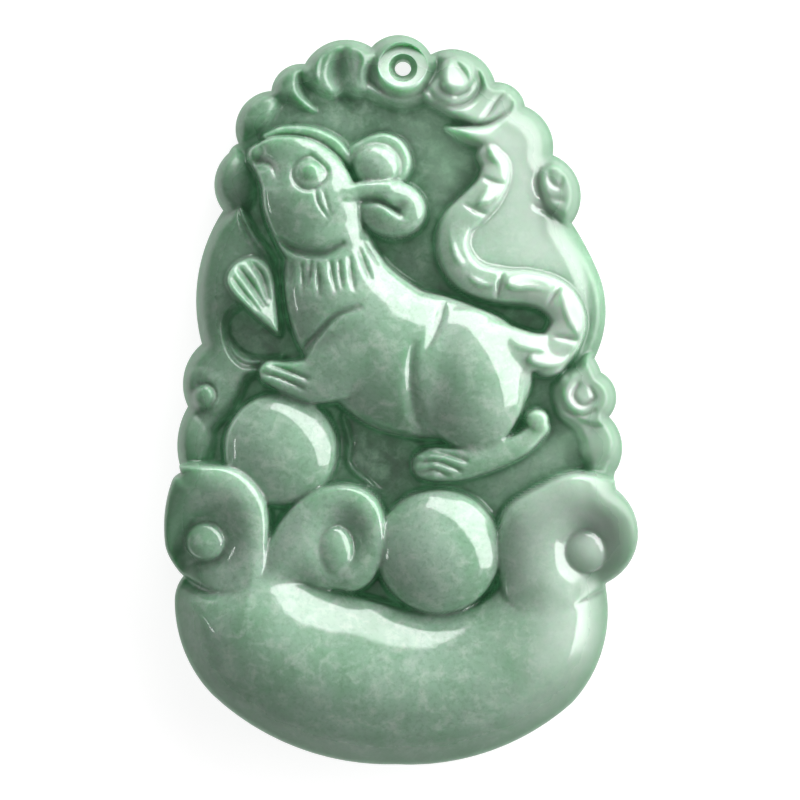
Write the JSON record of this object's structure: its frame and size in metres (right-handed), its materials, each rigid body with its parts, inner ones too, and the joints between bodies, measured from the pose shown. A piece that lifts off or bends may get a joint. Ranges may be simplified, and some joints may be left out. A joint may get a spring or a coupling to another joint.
{
  "type": "chinese jade pendant",
  "caption": "Oval carved green jade pendant: a rat on two balls over a boat-shaped ingot, scroll border, drilled cord hole at the top.",
  "frame": {"origin": "centre of the overall box, on the flat back", "axes": "+Y from the boat toward the cord hole, +Z out of the carved face; the pendant lies on its flat back"},
  "size_m": [0.0354, 0.0547, 0.0095],
  "materials": {
    "jade": "polished translucent mottled green jade"
  },
  "bodies": {
    "root": {"pendant": "jade"}
  },
  "joints": []
}
